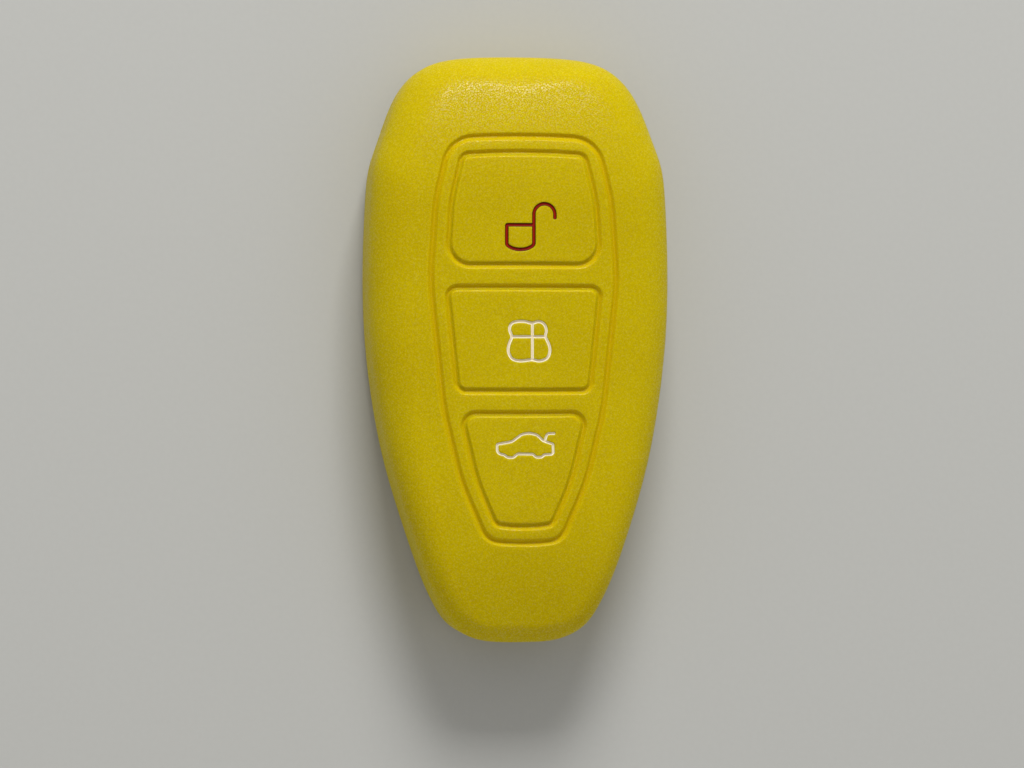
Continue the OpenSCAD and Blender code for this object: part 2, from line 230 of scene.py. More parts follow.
def distance_to(points: np.ndarray, line: np.ndarray, closed: bool = True) -> np.ndarray:
    """Finds how far each point is from a line.

    The foot on a span a to b is a + (b - a) t, with t = (p - a)(b - a) / |b - a|^2 held between 0
    and 1.

    Args:
        points: rows of x and y.
        line: the points of the line.
        closed: whether the line's last point joins its first.

    Returns:
        One distance for each point.
    """
    ends = np.roll(line, -1, 0) if closed else line[1:]
    starts = line if closed else line[:-1]
    span = ends - starts
    best = np.full(len(points), np.inf)
    for block in blocks(len(points), len(span)):
        offset = points[block][:, None] - starts[None]
        t = np.clip((offset * span).sum(2) / np.maximum((span**2).sum(1), 1e-18), 0, 1)
        best[block] = np.linalg.norm(offset - t[..., None] * span, axis=2).min(1)
    return best


def inside(points: np.ndarray, loop: np.ndarray) -> np.ndarray:
    """Says which points lie inside a closed loop, by counting the sides that a ray along X crosses.

    Args:
        points: rows of x and y.
        loop: the points of the loop.

    Returns:
        True for each point that lies inside.
    """
    nxt = np.roll(loop, -1, 0)
    hits = np.zeros(len(points), int)
    for block in blocks(len(points), len(loop)):
        x, y = points[block, 0][:, None], points[block, 1][:, None]
        spans = (loop[:, 1] > y) != (nxt[:, 1] > y)
        rise = np.where(nxt[:, 1] == loop[:, 1], 1e-12, nxt[:, 1] - loop[:, 1])
        cross = loop[:, 0] + (y - loop[:, 1]) * (nxt[:, 0] - loop[:, 0]) / rise
        hits[block] = (spans & (x < cross)).sum(1)
    return hits % 2 == 1


def within(points: np.ndarray, outer: np.ndarray, holes: list[np.ndarray]) -> np.ndarray:
    """Says which points lie inside the outer loop and in none of the holes."""
    return inside(points, outer) & ~np.any([inside(points, h) for h in holes] or [False], 0)


def hexagonal_points(low: np.ndarray, high: np.ndarray, spacing: float) -> np.ndarray:
    """Covers a rectangle with evenly spread points in staggered rows.

    Args:
        low: the rectangle's lowest corner.
        high: its highest corner.
        spacing: distance between neighbours.

    Returns:
        Rows of x and y.
    """
    rise = spacing * math.sqrt(3) / 2
    columns = np.arange(low[0], high[0] + spacing, spacing)
    rows = np.arange(low[1], high[1] + rise, rise)
    x, y = np.meshgrid(columns, rows)
    x[1::2] += spacing / 2
    return np.stack([x.ravel(), y.ravel()], 1)


def filled(
    outer: np.ndarray,
    holes: list[np.ndarray],
    lines: list[np.ndarray],
    spacing: float,
    fine: float = 0.0,
) -> tuple[np.ndarray, np.ndarray]:
    """Fills a flat region with triangles that keep every given line.

    Staggered points cover the region, with closer ones near the lines, and a Delaunay triangulation
    joins them with the loops as fixed edges. Triangles whose middle lies outside the outer loop or
    in a hole are left out.

    Args:
        outer: the loop round the region.
        holes: the loops of its holes.
        lines: closed loops inside the region that the triangles must follow.
        spacing: distance of the points that fill the region.
        fine: distance of the extra points near the lines, or zero for none.

    Returns:
        The points as rows of x and y, and the triangles, counter-clockwise.
    """
    loops = [outer, *holes, *lines]
    cloud = hexagonal_points(outer.min(0), outer.max(0), spacing)
    rim = np.min([distance_to(cloud, loop) for loop in loops], 0)
    cloud = cloud[rim > spacing * OFF_LINE]
    if fine:
        low = np.min([line.min(0) for line in lines], 0) - spacing
        high = np.max([line.max(0) for line in lines], 0) + spacing
        near = hexagonal_points(low, high, fine)
        rim = np.min([distance_to(near, loop) for loop in loops], 0)
        cloud = np.vstack([cloud, near[(rim > fine * OFF_LINE) & (rim < spacing * OFF_LINE)]])
    cloud = cloud[within(cloud, outer, holes)]
    points = np.vstack([*loops, cloud])
    edges, first = [], 0
    for loop in loops:
        index = np.arange(first, first + len(loop))
        edges.append(np.stack([index, np.roll(index, -1)], 1))
        first += len(loop)
    found, _, faces, origins, _, _ = delaunay_2d_cdt(
        [Vector(p) for p in points.tolist()], np.vstack(edges).tolist(), [], 0, SAME_POINT, True
    )
    flat = np.array([points[o[0]] if o else tuple(v) for v, o in zip(found, origins)])
    source = np.array([o[0] if o else len(points) for o in origins])
    triangles = np.array(faces)
    corners = flat[triangles]
    span, rise = corners[:, 1] - corners[:, 0], corners[:, 2] - corners[:, 0]
    area = np.abs(span[:, 0] * rise[:, 1] - span[:, 1] * rise[:, 0])
    on_rim = (source[triangles] < sum(map(len, [outer, *holes]))).all(1)
    keep = within(corners.mean(1), outer, holes) & ~(on_rim & (area < LEAST_AREA))
    return flat, triangles[keep]


# Meshes


@dataclass
class Surface:
    """Collects patches of quads and triangles and joins them where they share points."""

    points: list[np.ndarray] = field(default_factory=list)
    depths: list[np.ndarray] = field(default_factory=list)
    quads: list[np.ndarray] = field(default_factory=list)
    triangles: list[np.ndarray] = field(default_factory=list)
    count: int = 0

    def add(self, points: np.ndarray, faces: np.ndarray, depth: np.ndarray | float = 0.0) -> None:
        """Adds a patch.

        Args:
            points: rows of x, y and z in millimetres.
            faces: rows of three or four indices into the points.
            depth: how deep in a groove or in the ink each point lies, from 0 to 1.
        """
        self.points.append(points)
        self.depths.append(np.broadcast_to(depth, len(points)).astype(float))
        (self.quads if faces.shape[1] == 4 else self.triangles).append(faces + self.count)
        self.count += len(points)

    def add_rings(
        self,
        rings: np.ndarray,
        depth: np.ndarray | float = 0.0,
        flip: bool = False,
        skip: np.ndarray | None = None,
    ) -> None:
        """Adds the quads between rings of points.

        Args:
            rings: an array of rings by points by three coordinates. Clockwise rings that rise show
                their outer side.
            depth: how deep in a groove each point or ring lies, from 0 to 1.
            flip: whether the quads face the other way.
            skip: which quads to leave out, shaped as rings less one by points.
        """
        rows, columns = rings.shape[:2]
        a = np.arange(rows - 1)[:, None] * columns + np.arange(columns)
        b = np.arange(rows - 1)[:, None] * columns + (np.arange(columns) + 1) % columns
        quads = np.stack([a, a + columns, b + columns, b], 2)
        quads = quads[~skip] if skip is not None else quads.reshape(-1, 4)
        depth = np.broadcast_to(depth, rings.shape[:2]).reshape(-1)
        self.add(rings.reshape(-1, 3), quads[:, ::-1] if flip else quads, depth)

    def piece(self, name: str) -> bpy.types.Object:
        """Welds the patches and makes them one smooth object.

        Args:
            name: the object's name.

        Returns:
            The new object, linked to the scene.
        """
        points = np.vstack(self.points)
        near = np.round(points, WELD_DIGITS)
        _, first, inverse = np.unique(near, axis=0, return_index=True, return_inverse=True)
        inverse = inverse.reshape(-1)
        quads, triangles = inverse[np.vstack(self.quads)], inverse[np.vstack(self.triangles)]
        triangles = triangles[(np.diff(np.sort(triangles, 1), axis=1) > 0).all(1)]
        corners = np.concatenate([quads.ravel(), triangles.ravel()])
        sizes = np.repeat([4, 3], [len(quads), len(triangles)])
        mesh = bpy.data.meshes.new(name)
        mesh.vertices.add(len(first))
        mesh.vertices.foreach_set("co", (points[first] * MM).astype(np.float32).ravel())
        mesh.loops.add(len(corners))
        mesh.loops.foreach_set("vertex_index", corners.astype(np.int32))
        mesh.polygons.add(len(sizes))
        mesh.polygons.foreach_set("loop_start", (np.cumsum(sizes) - sizes).astype(np.int32))
        mesh.update(calc_edges=True)
        mesh.validate()
        mesh.polygons.foreach_set("use_smooth", np.ones(len(mesh.polygons), bool))
        attribute = mesh.attributes.new(DEPTH_ATTRIBUTE, "FLOAT", "POINT")
        attribute.data.foreach_set("value", np.concatenate(self.depths)[first].astype(np.float32))
        made = bpy.data.objects.new(name, mesh)
        bpy.context.scene.collection.objects.link(made)
        return made


def report(made: bpy.types.Object) -> None:
    """Logs a piece's size in faces and whether its surface is closed.

    Args:
        made: the piece.
    """
    edges = np.zeros(len(made.data.loops), np.int32)
    made.data.loops.foreach_get("edge_index", edges)
    uses = np.bincount(edges, minlength=len(made.data.edges))
    LOG.info("%s: %d faces, %d open edges", made.name, len(made.data.polygons), (uses != 2).sum())


# The cover

# The outline's right half, as shares of half the width and half the length.
OUTLINE_SHARES = np.array([
    (0, 1), (0.27, 0.997), (0.49, 0.983), (0.645, 0.948), (0.753, 0.891), (0.834, 0.811),
    (0.907, 0.705), (0.963, 0.612), (0.986, 0.49), (1, 0.3), (0.992, 0.07), (0.945, -0.16),
    (0.86, -0.385), (0.742, -0.59), (0.625, -0.765), (0.53, -0.875), (0.43, -0.947),
    (0.28, -0.988), (0.13, -0.999), (0, -1),
])  # fmt: skip
# The panel's right side in the same way, with the radius of each bend as a share of half the width.
PANEL_SHARES = np.array([
    (0.785, 1, 0.33), (0.944, 0.69, 1.9), (1, 0.29, 2.2), (0.86, -0.34, 2.8), (0.672, -0.71, 2.4),
    (0.4, -1, 0.22),
])  # fmt: skip


@dataclass(frozen=True)
class SkinSide:
    """One side of the skin, outer or inner.

    It lies inside the outer wall, above the back and below the front by wall, back and front. Its
    slot rows are the two rings between which the window for the ring slot is cut.
    """

    wall: float = 0.0
    back: float = 0.0
    front: float = 0.0
    roll_steps: int = 11
    wall_steps: int = 9
    slot_rows: tuple[int, int] = (14, 31)


@dataclass(frozen=True)
class Body:
    """The skin's form: a rounded, tapering pod with a crowned front, open at the back."""

    length: float = 82.0
    width: float = 42.2
    thickness: float = 17.5
    front_round: float = 5.6
    narrow_round: float = 2.8
    back_round: float = 3.5
    wide_end_fall: float = 5.0
    narrow_end_fall: float = 4.0
    side_fall: float = 1.2
    wide_fall_y: float = 20.0
    narrow_fall_y: float = 21.0
    spine_share: float = 0.75
    wall: float = 1.6
    front: float = 1.8
    lip: float = 1.5
    window_width: float = 29.0
    window_length: float = 60.0
    front_roll_steps: int = 15
    end_share: float = 0.3
    end_steps: int = 12

    def sides(self) -> tuple[SkinSide, SkinSide]:
        """Gives the outer and the inner side of the skin."""
        steps = {"roll_steps": 9, "wall_steps": 7, "slot_rows": (12, 27)}
        return SkinSide(), SkinSide(self.wall, self.lip, self.front, **steps)

    def outline(self, steps: int = 40) -> np.ndarray:
        """Draws the plan outline, clockwise from the middle of the wide end."""
        return closed_spline(mirrored(OUTLINE_SHARES) * (self.width / 2, self.length / 2), steps)

    def height(self, plan: np.ndarray) -> np.ndarray:
        """Gives the front's height: level along the panel, falling with a square beyond its ends.

        Args:
            plan: points of x and y.

        Returns:
            The height at each point; it also falls with the square of x towards the sides.
        """
        x, y, end = plan[..., 0], plan[..., 1], self.length / 2
        wide = np.maximum(0, y - self.wide_fall_y) / (end - self.wide_fall_y)
        narrow = np.maximum(0, -y - self.narrow_fall_y) / (end - self.narrow_fall_y)
        fall = self.wide_end_fall * wide**2 + self.narrow_end_fall * narrow**2
        return self.thickness - self.side_fall * (x / (self.width / 2)) ** 2 - fall

    def round_at(self, y: np.ndarray) -> np.ndarray:
        """Gives the front roll's radius: it shrinks smoothly from the middle to the narrow end."""
        t = np.clip(1 + y / (self.length / 2), 0, 1)
        return self.narrow_round + (self.front_round - self.narrow_round) * t * t * (3 - 2 * t)

    def on_front(self, plan: np.ndarray, depth: np.ndarray | float) -> np.ndarray:
        """Puts plan points below the front by a depth."""
        return np.concatenate([plan, (self.height(plan) - depth)[..., None]], -1)

    def carried(self, loop: np.ndarray, section: np.ndarray) -> np.ndarray:
        """Carries a section round a loop on the front, one ring for each of its points."""
        return np.stack([self.on_front(grown(loop, away), depth) for away, depth in section])

    def inset(self, plan: np.ndarray, distance: np.ndarray | float) -> np.ndarray:
        """Moves outline points towards the spine, a line along the middle of the plan."""
        towards = np.stack([-plan[..., 0], plan[..., 1] * (self.spine_share - 1)], -1)
        return plan + unit(towards) * distance

    def back_rings(self, outline: np.ndarray, side: SkinSide) -> np.ndarray:
        """Rolls the wall under into the back, as a quarter ellipse from the back face up.

        Args:
            outline: the plan outline.
            side: which side of the skin.

        Returns:
            Rings of points, from the back face to the wall.
        """
        turn = np.radians(np.linspace(0, 90, side.roll_steps))[:, None]
        away = self.back_round - (self.back_round - side.wall) * np.sin(turn)
        plan = self.inset(outline[None], away[..., None])
        level = self.back_round - (self.back_round - side.back) * np.cos(turn)
        return np.concatenate([plan, np.broadcast_to(level[..., None], (*plan.shape[:2], 1))], 2)

    def front_rings(self, outline: np.ndarray, side: SkinSide) -> np.ndarray:
        """Rolls the wall over into the front, as a quarter ellipse from the wall up.

        Args:
            outline: the plan outline.
            side: which side of the skin.

        Returns:
            Rings of points, from the wall to the front.
        """
        turn = np.radians(np.linspace(0, 90, self.front_roll_steps))[:, None]
        radius = self.round_at(outline[None, :, 1])
        away = radius - (radius - side.wall) * np.cos(turn)
        plan = self.inset(outline[None], away[..., None])
        level = self.height(plan) - radius + (radius - side.front) * np.sin(turn)
        return np.concatenate([plan, level[..., None]], 2)

    def end_wall(self, x: np.ndarray, z: np.ndarray, side: SkinSide) -> np.ndarray:
        """Finds how far out the narrow end's wall lies, over points of the X and Z plane.

        The wall's inset follows from its height, by the two quarter ellipses above, and the outline
        point whose inset lies at x is found in a few steps of correction.

        Args:
            x: distances across.
            z: heights.
            side: which side of the skin.

        Returns:
            The wall's y at each point.
        """
        outline = self.outline()
        end = outline[outline[:, 1] < -self.length * self.end_share]
        end = end[np.argsort(end[:, 0])]
        source = x.copy()
        y = np.interp(source, end[:, 0], end[:, 1])
        for _ in range(self.end_steps):
            plan = np.stack([source, np.interp(source, end[:, 0], end[:, 1])], 1)
            radius = self.round_at(plan[:, 1])
            roof = self.height(np.stack([x, y], 1)) - radius
            up = np.clip((z - roof) / (radius - side.front), 0, 1)
            down = np.clip((self.back_round - z) / (self.back_round - side.back), 0, 1)
            over = radius - (radius - side.wall) * np.sqrt(1 - up**2)
            under = self.back_round - (self.back_round - side.wall) * np.sqrt(1 - down**2)
            moved = self.inset(plan, np.where(z > self.back_round, over, under)[:, None])
            source = source + (x - moved[:, 0])
            y = moved[:, 1]
        return y


@dataclass(frozen=True)
class Groove:
    """A groove's section: a soft trough, wider than the cut whose walls the pads slide along."""

    width: float = 0.6
    depth: float = 0.5
    reach: float = 0.62

    def section(self, start: float, end: float, steps: int) -> np.ndarray:
        """Draws part of the section; the depth is d (1 + cos(pi x / r)) / 2 at x from the middle.

        Args:
            start: distance from the groove's middle where the line starts.
            end: distance where it ends.
            steps: how many points it gets.

        Returns:
            Rows of distance from the groove's middle and depth.
        """
        away = np.linspace(start, end, steps)
        return np.stack([away, self.depth * (1 + np.cos(math.pi * away / self.reach)) / 2], 1)

    def shares(self, section: np.ndarray, floor: float) -> np.ndarray:
        """Gives how deep in the groove each point of a section lies, and 0 below a floor."""
        return (np.clip(section[:, 1] / self.depth, 0, 1) * (section[:, 1] <= floor))[:, None]


class PadEnd(Enum):
    """The two ends of a pad that can have corners of their own."""

    WIDE = 0
    NARROW = 1


@dataclass(frozen=True)
class Panel:
    """The button panel: the outer groove's loop, and the three pads in it with their grooves."""

    width: float = 26.0
    length: float = 55.6
    middle_y: float = 1.3
    bow: float = 0.35
    bow_steps: int = 8
    end: float = 2.2
    gap: float = 3.1
    band: float = 2.2
    pad_lengths: tuple[float, ...] = (15.3, 14.3, 15.4)
    corner_radii: tuple[tuple[float, float], ...] = ((1.3, 3.0), (1.3, 1.3), (1.7, 1.3))
    bend_clearance: float = 2.4
    web: float = 0.5
    pad_thickness: float = 2.4
    clearance: float = 0.012
    groove: Groove = Groove()

    def side(self) -> np.ndarray:
        """Gives the loop's right side as rows of x, y and the radius of the bend."""
        scale = (self.width / 2, self.length / 2, self.width / 2)
        return PANEL_SHARES * scale + (0, self.middle_y, 0)

    def bowed_end(self, corner: np.ndarray, shares: np.ndarray) -> np.ndarray:
        """Draws an end of the panel or of a pad, which bows out with 1 - share^2.

        Args:
            corner: the x and y of the end's right corner.
            shares: where its points lie across, as shares of the corner's x.

        Returns:
            Rows of x, y and a radius of zero.
        """
        away = corner[1] - self.middle_y
        bow = self.bow * away * abs(away) / (self.length / 2) ** 2
        return np.stack([shares * corner[0], corner[1] + bow * (1 - shares**2), shares * 0], 1)

    def closed(self, side: np.ndarray) -> np.ndarray:
        """Closes a right side into a clockwise loop, with its two ends bowed outwards.

        Args:
            side: rows of x, y and radius, from the wide end to the narrow end.

        Returns:
            The points of the loop, from the middle of its wide end.
        """
        half = self.bow_steps
        share = np.linspace(-0.5, 0.5, 2 * half + 1)
        wide, narrow = self.bowed_end(side[0], share), self.bowed_end(side[-1], share[::-1])
        left = side[::-1] * (-1, 1, 1)
        return rounded(np.vstack([wide[half:], side, narrow, left, wide[:half]]))

    def loop(self) -> np.ndarray:
        """Draws the middle line of the outer groove, clockwise from its wide end's middle."""
        return self.closed(self.side())

    def pad_ends(self, index: int) -> tuple[float, float]:
        """Finds where a pad lies along the panel.

        Args:
            index: which pad, from the wide end.

        Returns:
            The y of its wide and of its narrow end.
        """
        first = self.middle_y + self.length / 2 - self.end
        top = first - index * self.gap - sum(self.pad_lengths[:index])
        return top, top - self.pad_lengths[index]

    def pad_loop(self, index: int) -> np.ndarray:
        """Draws the middle line of the groove round a pad, clockwise from its wide end's middle.

        Args:
            index: which pad, from the wide end.

        Returns:
            The points of the loop.
        """
        side, (top, bottom), near = self.side(), self.pad_ends(index), self.bend_clearance
        half = np.interp([bottom, top], side[::-1, 1], side[::-1, 0]) - self.band
        bends = side[(side[:, 1] < top - near) & (side[:, 1] > bottom + near)] - (self.band, 0, 0)
        radii = self.corner_radii[index]
        wide = (half[1], top, radii[PadEnd.WIDE.value])
        narrow = (half[0], bottom, radii[PadEnd.NARROW.value])
        return self.closed(np.vstack([wide, bends, narrow]))


@dataclass(frozen=True)
class RingSlot:
    """The slot for the key ring through the wall of the narrow end, with rounded rims."""

    width: float = 14.6
    height: float = 5.6
    level: float = 6.9
    rim: float = 0.5
    reach: float = 10.6
    spacing: float = 0.5
    count: int = 140
    arc_steps: int = 40
    rim_steps: int = 7

    def loop(self, reach: float) -> np.ndarray:
        """Outlines the slot, two half circles and two flats in the X and Z plane, grown by a reach.

        Args:
            reach: how far the outline lies outside the slot.

        Returns:
            Rows of x and z.
        """
        radius, flat = self.height / 2 + reach, (self.width - self.height) / 2
        turn = np.linspace(0, math.pi, self.arc_steps)
        right = np.stack([flat + radius * np.sin(turn), self.level + radius * np.cos(turn)], 1)
        left = np.stack([-flat - radius * np.sin(turn), self.level - radius * np.cos(turn)], 1)
        return resampled(np.vstack([right, left]), self.count)


@dataclass
class Skin:
    """The moulded skin in one surface: outside, inside, grooves, webs, window and ring slot."""

    body: Body
    panel: Panel
    slot: RingSlot
    columns: int = 500
    pad_columns: int = 300
    plate_spacing: float = 0.55
    ceiling_share: float = 1.4
    fillet: float = 0.12
    lip_steps: int = 11
    back_steps: int = 9
    crown_steps: int = 21
    trough_steps: int = 21
    ceiling_steps: int = 13
    tunnel_steps: int = 4
    web_steps: int = 17
    surface: Surface = field(default_factory=Surface)

    def window_rings(self, outline: np.ndarray) -> np.ndarray:
        """Rounds the lip of the back window: a half circle from inside to outside round its edge.

        Args:
            outline: the plan outline, which the window repeats at its own size.

        Returns:
            Rings of points.
        """
        body, radius = self.body, self.body.lip / 2
        loop = outline * (body.window_width / body.width, body.window_length / body.length)
        turn = np.linspace(0, math.pi, self.lip_steps)[:, None]
        plan = np.stack([grown(loop, radius * (1 - s)) for s in np.sin(turn[:, 0])])
        level = np.broadcast_to(radius + radius * np.cos(turn), plan.shape[:2])
        return np.concatenate([plan, level[..., None]], 2)

    def wall_rings(self, outline: np.ndarray, lip: np.ndarray, side: SkinSide) -> np.ndarray:
        """Runs one side of the skin from the back window round the wall to the front.

        Args:
            outline: the plan outline.
            lip: the loop of the window's lip that this side starts from.
            side: which side of the skin.

        Returns:
            Rings of points.
        """
        under, over = self.body.back_rings(outline, side), self.body.front_rings(outline, side)
        share = np.linspace(0, 1, self.back_steps)
        back = lifted(between(lip[:, :2], under[0, :, :2], share), side.back)
        wall = between(under[-1], over[0], np.linspace(0, 1, side.wall_steps)[1:-1])
        return np.concatenate([back[:-1], under, wall, over])

    def cut_slot(self, rings: np.ndarray, side: SkinSide) -> tuple[np.ndarray, np.ndarray]:
        """Cuts a window out of the rings at the narrow end and fills it round the slot.

        The window's border keeps the rings' own points. Inside it, points of the X and Z plane are
        put on the wall, and the slot's rim rolls inwards as a quarter circle.

        Args:
            rings: the rings of this side.
            side: which side of the skin.

        Returns:
            Which quads of the rings the patch stands for, and the loop where its rim ends.
        """
        (low, high), slot, inner = side.slot_rows, self.slot, side.wall > 0
        middle = rings[low:high + 1].mean(0)
        chosen = np.nonzero((np.abs(middle[:, 0]) < slot.reach) & (middle[:, 1] < 0))[0]
        first, last = chosen.min(), chosen.max()
        skip = np.zeros((len(rings) - 1, rings.shape[1]), bool)
        skip[low:high, first:last] = True
        columns, rows = np.arange(first, last + 1), slice(low + 1, high)
        bottom, top = rings[low, columns], rings[high, columns[::-1]]
        border = np.vstack([bottom, rings[rows, last], top, rings[rows, first][::-1]])
        turns = np.linspace(0, math.pi / 2, slot.rim_steps)
        loops = [slot.loop(slot.rim * (1 - math.sin(t))) for t in turns]
        flat, triangles = filled(border[:, [0, 2]], [loops[0]], [], slot.spacing)
        y = self.body.end_wall(flat[:, 0], flat[:, 1], side)
        y[: len(border)] = border[:, 1]
        patch = np.stack([flat[:, 0], y, flat[:, 1]], 1)
        self.surface.add(patch, triangles[:, ::-1] if inner else triangles)
        into = -slot.rim if inner else slot.rim
        rim = []
        for loop, turn in zip(loops, turns):
            wall = self.body.end_wall(loop[:, 0], loop[:, 1], side)
            rim.append(np.stack([loop[:, 0], wall + (1 - math.cos(turn)) * into, loop[:, 1]], 1))
        self.surface.add_rings(np.array(rim), flip=inner)
        return skip, rim[-1]

    def web_section(self) -> np.ndarray:
        """Draws the groove round a pad, the web at its foot, and the step up to the ceiling.

        Returns:
            Rows of distance from the groove's middle and depth below the front.
        """
        groove, front, fillet = self.panel.groove, self.body.front, self.fillet
        half = groove.width / 2
        edge, under = -half + self.panel.clearance, groove.depth + self.panel.web
        step = [
            (edge, under), (half - fillet, under), (half - fillet / 4, under + fillet / 4),
            (half, under + fillet), (half, front - fillet), (half + fillet / 3, front - fillet / 4),
            (half + fillet, front),
        ]  # fmt: skip
        return np.vstack([groove.section(groove.reach, edge, self.web_steps), step])

    def build(self) -> bpy.types.Object:
        """Builds the whole skin.

        Returns:
            The skin's object.
        """
        body, panel, groove, surface = self.body, self.panel, self.panel.groove, self.surface
        outline = resampled(body.outline(), self.columns)
        loop = resampled(panel.loop(), self.columns)
        window = self.window_rings(outline)
        outer, inner = body.sides()

        # Outside: back face, back roll, wall, front roll, crown and outer groove
        walls = self.wall_rings(outline, window[-1], outer)
        section = groove.section(groove.reach, -groove.reach, self.trough_steps)
        share = np.linspace(0, 1, self.crown_steps + 1)[1:-1]
        crown = between(walls[-1, :, :2], grown(loop, section[0, 0]), share)
        trough = body.carried(loop, section)
        rings = np.concatenate([walls, body.on_front(crown, 0.0), trough])
        depths = np.zeros((len(rings), 1))
        depths[-len(section):] = groove.shares(section, groove.depth)
        skip, outer_edge = self.cut_slot(rings, outer)
        surface.add_rings(rings, depths, skip=skip)

        # Inside: lip, back roll, wall, front roll and ceiling, and the slot's tunnel to the outside
        walls = self.wall_rings(outline, window[0], inner)
        share = np.linspace(0, 1, self.ceiling_steps + 1)[1:]
        ceiling = between(walls[-1, :, :2], loop, share)
        rings = np.concatenate([walls, body.on_front(ceiling, body.front)])
        skip, inner_edge = self.cut_slot(rings, inner)
        surface.add_rings(rings, flip=True, skip=skip)
        surface.add_rings(window[::-1], flip=True)
        share = np.linspace(0, 1, self.tunnel_steps + 1)
        surface.add_rings(between(outer_edge, inner_edge, share))

        # The webs, the band round the pads, and the ceiling over them
        section = self.web_section()
        depths = groove.shares(section, groove.depth)
        pads = [
            resampled(panel.pad_loop(index), self.pad_columns)
            for index in range(len(panel.pad_lengths))
        ]
        for pad in pads:
            surface.add_rings(body.carried(pad, section), depths)
        holes = [[grown(pad, section[end, 0]) for pad in pads] for end in (0, -1)]
        flat, triangles = filled(trough[-1, :, :2], holes[0], [], self.plate_spacing)
        surface.add(body.on_front(flat, 0.0), triangles)
        flat, triangles = filled(loop, holes[1], [], self.plate_spacing * self.ceiling_share)
        surface.add(body.on_front(flat, body.front), triangles[:, ::-1])
        return surface.piece("cover_skin")


# The symbols


@dataclass(frozen=True)
class Stroke:
    """One drawn line of a symbol."""

    line: np.ndarray
    width: float
    closed: bool

    def outline(self, reach: float) -> list[np.ndarray]:
        """Outlines everything within half the line's width plus a reach.

        Args:
            reach: how far the outline lies outside the line's edge.

        Returns:
            One closed loop, or two for a closed line.
        """
        away = self.width / 2 + reach
        if self.closed:
            return [grown(self.line, away), grown(self.line, -away)]
        return [capsule(self.line, away)]

    def distance(self, points: np.ndarray) -> np.ndarray:
        """Gives each point's distance from the line's edge, negative on the line."""
        return distance_to(points, self.line, self.closed) - self.width / 2


@dataclass(frozen=True)
class Symbol:
    """A symbol, drawn as strokes."""

    spacing: float = 0.09

    def strokes(self, middle: np.ndarray) -> list[Stroke]:
        """Draws the strokes round the pad's middle."""
        raise NotImplementedError

    def closed(self, loop: np.ndarray, width: float) -> Stroke:
        """Makes a closed stroke with evenly spread points."""
        return Stroke(resampled(loop, int(lengths_along(loop)[-1] / self.spacing)), width, True)

    def open(self, line: np.ndarray, width: float) -> Stroke:
        """Makes an open stroke with evenly spread points."""
        return Stroke(resampled_line(line, self.spacing), width, False)


@dataclass(frozen=True)
class OpenPadlock(Symbol):
    """An open padlock: a body with a curved bottom and a shackle swung out to the right."""

    line: float = 0.46
    place: tuple[float, float] = (-0.55, -3.8)
    width: float = 3.78
    side: float = 2.65
    corner: float = 0.1
    belly: float = 0.75
    belly_power: float = 0.7
    shackle_radius: float = 1.47
    shackle_rise: float = 1.45
    shackle_tail: float = 0.45

    def strokes(self, middle: np.ndarray) -> list[Stroke]:
        """Draws the body, its bottom curved as (1 - x^2)^0.7, and the shackle round its bend.

        Args:
            middle: the middle of the pad.

        Returns:
            The strokes.
        """
        x, y = middle + self.place
        right, left = x + self.width / 2, x - self.width / 2
        top = y + (self.side + self.belly) / 2
        low = top - self.side
        share = np.linspace(-1, 1, 25)[1:-1]
        bottom = low - self.belly * (1 - share**2) ** self.belly_power
        belly = np.stack([x - share * self.width / 2, bottom, np.zeros_like(share)], 1)
        ends = [(px, py, self.corner) for px, py in ((left, top), (right, top), (right, low))]
        corners = np.vstack([*ends, belly, (left, low, self.corner)])
        turn = np.linspace(math.pi, 0, 30)
        pivot, rise = right + self.shackle_radius, top + self.shackle_rise
        along, up = self.shackle_radius * np.cos(turn), self.shackle_radius * np.sin(turn)
        bend = np.stack([pivot + along, rise + up], 1)
        tail = (right + 2 * self.shackle_radius, rise - self.shackle_tail)
        shackle = np.vstack([(right, top), bend, tail])
        body = rounded(corners, steps=5)
        return [self.closed(body, self.line), self.open(shackle, self.line)]


@dataclass(frozen=True)
class DoublePadlock(Symbol):
    """Two closed padlocks side by side: an outline, a bar between them and one across them."""

    line: float = 0.4
    place: tuple[float, float] = (0.65, -0.35)
    width: float = 5.7
    height: float = 5.5
    bar_x_share: float = 0.17
    bar_y_share: float = 0.25
    bar_shares: tuple[float, float] = (0.9, -0.89)
    waist: tuple[int, int] = (0, 11)

    def strokes(self, middle: np.ndarray) -> list[Stroke]:
        """Draws the outline as a closed curve through its shares, and the two bars.

        Args:
            middle: the middle of the pad.

        Returns:
            The strokes.
        """
        shares = np.array([
            (-0.84, 0.26), (-0.94, 0.56), (-0.89, 0.84), (-0.71, 0.98), (-0.43, 1.02), (-0.13, 1),
            (0.15, 0.93), (0.42, 1), (0.66, 0.95), (0.81, 0.76), (0.85, 0.5), (0.81, 0.26),
            (0.94, -0.05), (1.03, -0.4), (0.95, -0.76), (0.72, -0.93), (0.44, -0.97),
            (0.16, -0.91), (-0.23, -0.96), (-0.6, -0.95), (-0.85, -0.83), (-0.98, -0.6),
            (-1.01, -0.34), (-0.93, -0.02),
        ])  # fmt: skip
        half = np.array((self.width, self.height)) / 2
        at = middle + self.place
        loop = closed_spline(shares * half + at, 8)
        bar = np.array([(self.bar_x_share, s) for s in self.bar_shares]) * half + at
        waist = np.array([(shares[i, 0], self.bar_y_share) for i in self.waist]) * half + at
        return [self.closed(loop, self.line), *[self.open(bar, self.line) for bar in (bar, waist)]]


